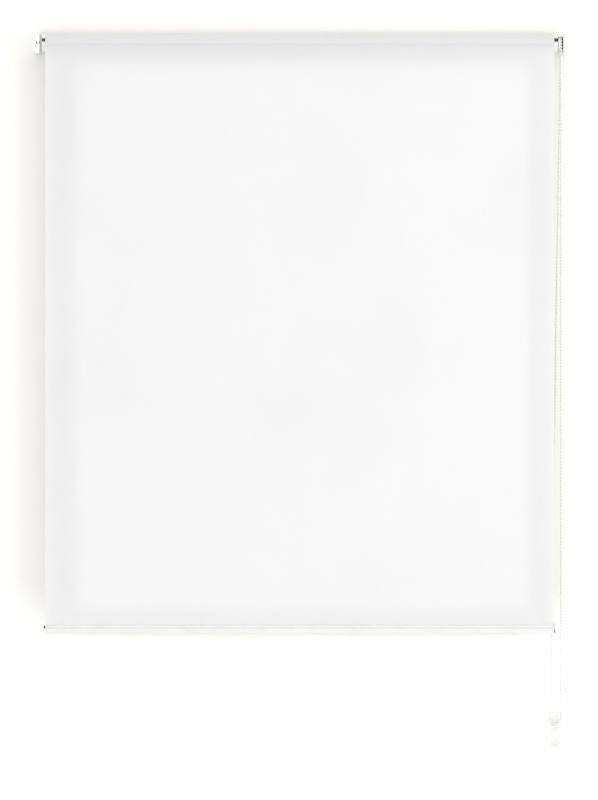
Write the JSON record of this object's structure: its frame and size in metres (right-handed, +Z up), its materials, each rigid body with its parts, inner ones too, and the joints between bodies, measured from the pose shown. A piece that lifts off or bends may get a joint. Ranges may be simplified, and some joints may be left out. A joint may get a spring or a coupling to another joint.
{
  "type": "roller blind",
  "caption": "Chain-operated roller blind: translucent cloth on an aluminium tube between wall brackets, with a bottom bar, an endless ball chain and a clear wall-fixed chain holder.",
  "frame": {"origin": "on the wall plane, midway between the two brackets, at the height of the roller axis; the centre of the four wall screw holes", "axes": "+Z up, +Y into the wall, so the room is on the -Y side; +X to the right as seen from the room, with the chain at the +X end"},
  "size_m": [1, 0.0681, 1.3522],
  "materials": {
    "bracket_paint": "white powder coat on steel",
    "cover_plastic": "white moulded plastic, light gloss",
    "white_nylon": "white moulded nylon, satin",
    "spring_steel": "bright spring steel",
    "tube_aluminium": "extruded mill finish",
    "adhesive_tape": "double-sided tape",
    "blind_cloth": "fine plain-woven polyester, light passes through",
    "bar_paint": "white powder coat on aluminium",
    "black_rod": "black extruded rod",
    "cap_plastic": "white moulded plastic",
    "chain_plastic": "white moulded balls on thread",
    "clear_plastic": "clear polycarbonate"
  },
  "bodies": {
    "wall_frame": {"left_bracket": "bracket_paint", "left_bracket_cover": "cover_plastic", "right_bracket": "bracket_paint", "clutch_post": "white_nylon", "clutch_clip": "spring_steel", "chain_guard": "cover_plastic", "cloth_sheet": "blind_cloth", "chain_wheel_wrap": "chain_plastic", "chain_front_strand": "chain_plastic", "chain_rear_strand": "chain_plastic", "chain_lower_loop": "chain_plastic", "holder_body": "clear_plastic", "holder_cover": "clear_plastic"},
    "roller": {"roller_tube": "tube_aluminium", "fixing_tape": "adhesive_tape", "cloth_roll": "blind_cloth", "clutch_crown": "white_nylon", "chain_wheel": "white_nylon", "clutch_springs": "spring_steel", "idle_plug": "white_nylon", "idle_spring": "spring_steel"},
    "idle_pin": {"idle_pin": "spring_steel"},
    "bar": {"bottom_bar": "bar_paint", "bar_spline": "black_rod", "cloth_hem": "blind_cloth", "bar_cap_left": "cap_plastic", "bar_cap_right": "cap_plastic"},
    "connector": {"chain_connector": "chain_plastic"}
  },
  "joints": [
    {"name": "roller_turn", "type": "hinge", "parent": "wall_frame", "child": "roller", "pos_m": [0, -0.042, 0], "axis": [-1, 0, 0], "range_deg": [0, 3000], "deforming": ["chain_wheel_wrap", "chain_rear_strand"]},
    {"name": "bar_slide", "type": "slide", "parent": "wall_frame", "child": "bar", "axis": [0, 0, 1], "range_m": [0, 1.05777], "deforming": ["cloth_sheet"]},
    {"name": "connector_slide", "type": "slide", "parent": "wall_frame", "child": "connector", "axis": [-0.001, -0.0407, 0.9992], "range_m": [0, 0.9001], "deforming": ["chain_front_strand"]},
    {"name": "pin_slide", "type": "slide", "parent": "roller", "child": "idle_pin", "axis": [1, 0, 0], "range_m": [0, 0.006], "stiffness_N_per_m": 400, "springref_m": -0.01, "deforming": ["idle_spring"]}
  ],
  "couplings": [
    {"joint": "bar_slide", "follows": "roller_turn", "m_per_rad": 0.0202},
    {"joint": "connector_slide", "follows": "roller_turn", "m_per_rad": 0.017189}
  ]
}
